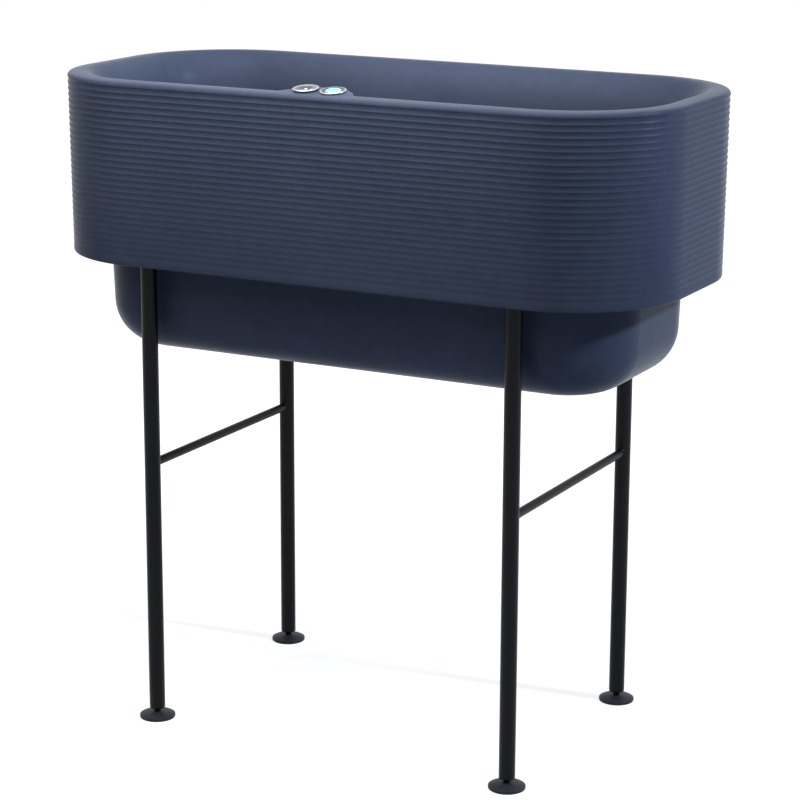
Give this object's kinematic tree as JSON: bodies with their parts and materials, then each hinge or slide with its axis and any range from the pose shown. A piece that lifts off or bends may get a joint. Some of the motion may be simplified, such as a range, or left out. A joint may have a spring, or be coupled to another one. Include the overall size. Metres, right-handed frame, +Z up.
{
  "type": "pet bathtub",
  "caption": "Raised pet bathtub: ribbed round-cornered tub with rolled rim and control deck on tubular legs with screw-adjustable feet, push buttons, and a floor waste with plug.",
  "frame": {"origin": "on the floor, under the middle of the tub", "axes": "+X along the tub to the user's right, +Y away from the control deck's side, +Z up"},
  "size_m": [0.902, 0.436, 0.9087],
  "materials": {
    "tub_plastic": "moulded slate-navy polyethylene, slightly uneven matte",
    "black_tube": "satin black powder coat on steel tube",
    "foot_plastic": "dark moulded plastic",
    "zinc": "zinc plated thread",
    "satin_metal": "satin",
    "chrome_trim": "bright plated",
    "clear_lens": "pale cyan translucent lens",
    "black_rubber": "moulded seal",
    "black_plastic": "moulded nut",
    "brass_insert": "machined",
    "plug_rubber": "moulded stopper"
  },
  "bodies": {
    "tub": {"tub_shell": "tub_plastic", "leg_screws": "zinc", "leg_inserts": "brass_insert", "left_crossbar": "black_tube", "right_crossbar": "black_tube", "left_button_gasket": "black_rubber", "left_button_body": "satin_metal", "left_button_nut": "black_plastic", "right_button_gasket": "black_rubber", "right_button_body": "chrome_trim", "right_button_nut": "black_plastic", "waste_flange": "chrome_trim", "waste_seal": "black_rubber", "waste_nut": "black_plastic", "front_left_leg": "black_tube", "front_left_plate": "black_tube", "front_right_leg": "black_tube", "front_right_plate": "black_tube", "rear_left_leg": "black_tube", "rear_left_plate": "black_tube", "rear_right_leg": "black_tube", "rear_right_plate": "black_tube"},
    "left_button": {"left_button_cap": "satin_metal"},
    "right_button": {"right_button_cap": "chrome_trim", "right_button_lens": "clear_lens"},
    "plug": {"waste_plug": "plug_rubber"},
    "front_left_stem": {"front_left_foot_stem": "zinc"},
    "front_left_foot": {"front_left_foot_pad": "foot_plastic"},
    "front_right_stem": {"front_right_foot_stem": "zinc"},
    "front_right_foot": {"front_right_foot_pad": "foot_plastic"},
    "rear_left_stem": {"rear_left_foot_stem": "zinc"},
    "rear_left_foot": {"rear_left_foot_pad": "foot_plastic"},
    "rear_right_stem": {"rear_right_foot_stem": "zinc"},
    "rear_right_foot": {"rear_right_foot_pad": "foot_plastic"}
  },
  "joints": [
    {"name": "left_button_press", "type": "slide", "parent": "tub", "child": "left_button", "axis": [0, -0.1305, 0.9914], "range_m": [-0.0035, 0], "stiffness_N_per_m": 300, "springref_m": 0.003},
    {"name": "right_button_press", "type": "slide", "parent": "tub", "child": "right_button", "axis": [0, -0.1305, 0.9914], "range_m": [-0.0035, 0], "stiffness_N_per_m": 300, "springref_m": 0.003},
    {"name": "plug_lift", "type": "slide", "parent": "tub", "child": "plug", "axis": [0, 0, 1], "range_m": [0, 0.03]},
    {"name": "front_left_foot_height", "type": "slide", "parent": "tub", "child": "front_left_stem", "axis": [0, 0, 1], "range_m": [-0.012, 0]},
    {"name": "front_left_foot_turn", "type": "hinge", "parent": "front_left_stem", "child": "front_left_foot", "pos_m": [-0.273, -0.184, 0.009], "axis": [0, 0, 1], "range_deg": [0, 2880]},
    {"name": "front_right_foot_height", "type": "slide", "parent": "tub", "child": "front_right_stem", "axis": [0, 0, 1], "range_m": [-0.012, 0]},
    {"name": "front_right_foot_turn", "type": "hinge", "parent": "front_right_stem", "child": "front_right_foot", "pos_m": [0.273, -0.184, 0.009], "axis": [0, 0, 1], "range_deg": [0, 2880]},
    {"name": "rear_left_foot_height", "type": "slide", "parent": "tub", "child": "rear_left_stem", "axis": [0, 0, 1], "range_m": [-0.012, 0]},
    {"name": "rear_left_foot_turn", "type": "hinge", "parent": "rear_left_stem", "child": "rear_left_foot", "pos_m": [-0.273, 0.184, 0.009], "axis": [0, 0, 1], "range_deg": [0, 2880]},
    {"name": "rear_right_foot_height", "type": "slide", "parent": "tub", "child": "rear_right_stem", "axis": [0, 0, 1], "range_m": [-0.012, 0]},
    {"name": "rear_right_foot_turn", "type": "hinge", "parent": "rear_right_stem", "child": "rear_right_foot", "pos_m": [0.273, 0.184, 0.009], "axis": [0, 0, 1], "range_deg": [0, 2880]}
  ],
  "couplings": [
    {"joint": "front_left_foot_turn", "follows": "front_left_foot_height", "rad_per_m": -4188.8},
    {"joint": "front_right_foot_turn", "follows": "front_right_foot_height", "rad_per_m": -4188.8},
    {"joint": "rear_left_foot_turn", "follows": "rear_left_foot_height", "rad_per_m": -4188.8},
    {"joint": "rear_right_foot_turn", "follows": "rear_right_foot_height", "rad_per_m": -4188.8}
  ]
}
